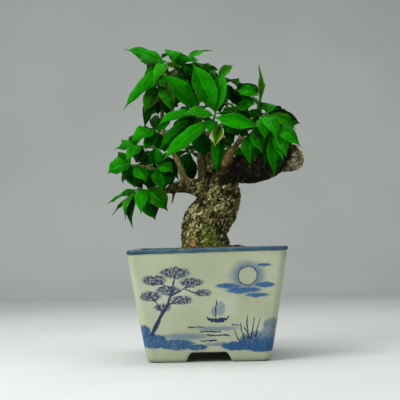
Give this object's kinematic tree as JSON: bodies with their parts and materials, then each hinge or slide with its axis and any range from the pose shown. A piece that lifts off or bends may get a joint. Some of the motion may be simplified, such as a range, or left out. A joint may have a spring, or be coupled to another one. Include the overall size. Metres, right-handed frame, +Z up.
{
  "type": "burning bush bonsai",
  "caption": "Small burning bush tree with a thick leaning trunk and long green leaves, growing in a square tapered glazed pot on four feet.",
  "frame": {"origin": "centre of the object's bounding box in plan, on the surface that the pot's feet stand on", "axes": "+Z up, through the trunk and the crown; -Y is the front of the pot, +X is to the right as seen from the front, the way the thick branch reaches"},
  "size_m": [0.144, 0.1184, 0.2251],
  "materials": {
    "glaze": "satin",
    "mesh": "matte",
    "earth": "matte",
    "bark": "matte",
    "leaf": "satin"
  },
  "bodies": {
    "root": {"drain_screen": "mesh", "pot": "glaze", "soil": "earth", "stem_back_centre": "leaf", "stem_back_crown": "leaf", "stem_back_crown_left": "leaf", "stem_back_crown_right": "leaf", "stem_back_left": "leaf", "stem_back_low": "leaf", "stem_back_low_left": "leaf", "stem_back_low_right": "leaf", "stem_back_right": "leaf", "stem_back_right_low": "leaf", "stem_centre": "leaf", "stem_centre_left": "leaf", "stem_crown_back": "leaf", "stem_crown_left": "leaf", "stem_crown_low": "leaf", "stem_crown_middle": "leaf", "stem_crown_right": "leaf", "stem_crown_tip": "leaf", "stem_hanging": "leaf", "stem_inner": "leaf", "stem_left": "leaf", "stem_left_behind": "leaf", "stem_left_inner": "leaf", "stem_left_low": "leaf", "stem_left_middle": "leaf", "stem_low_spray": "leaf", "stem_right": "leaf", "stem_right_behind": "leaf", "stem_right_front": "leaf", "stem_right_low": "leaf", "stem_right_middle": "leaf", "stem_right_top": "leaf", "stem_upright": "leaf", "trunk": "bark"}
  },
  "joints": []
}
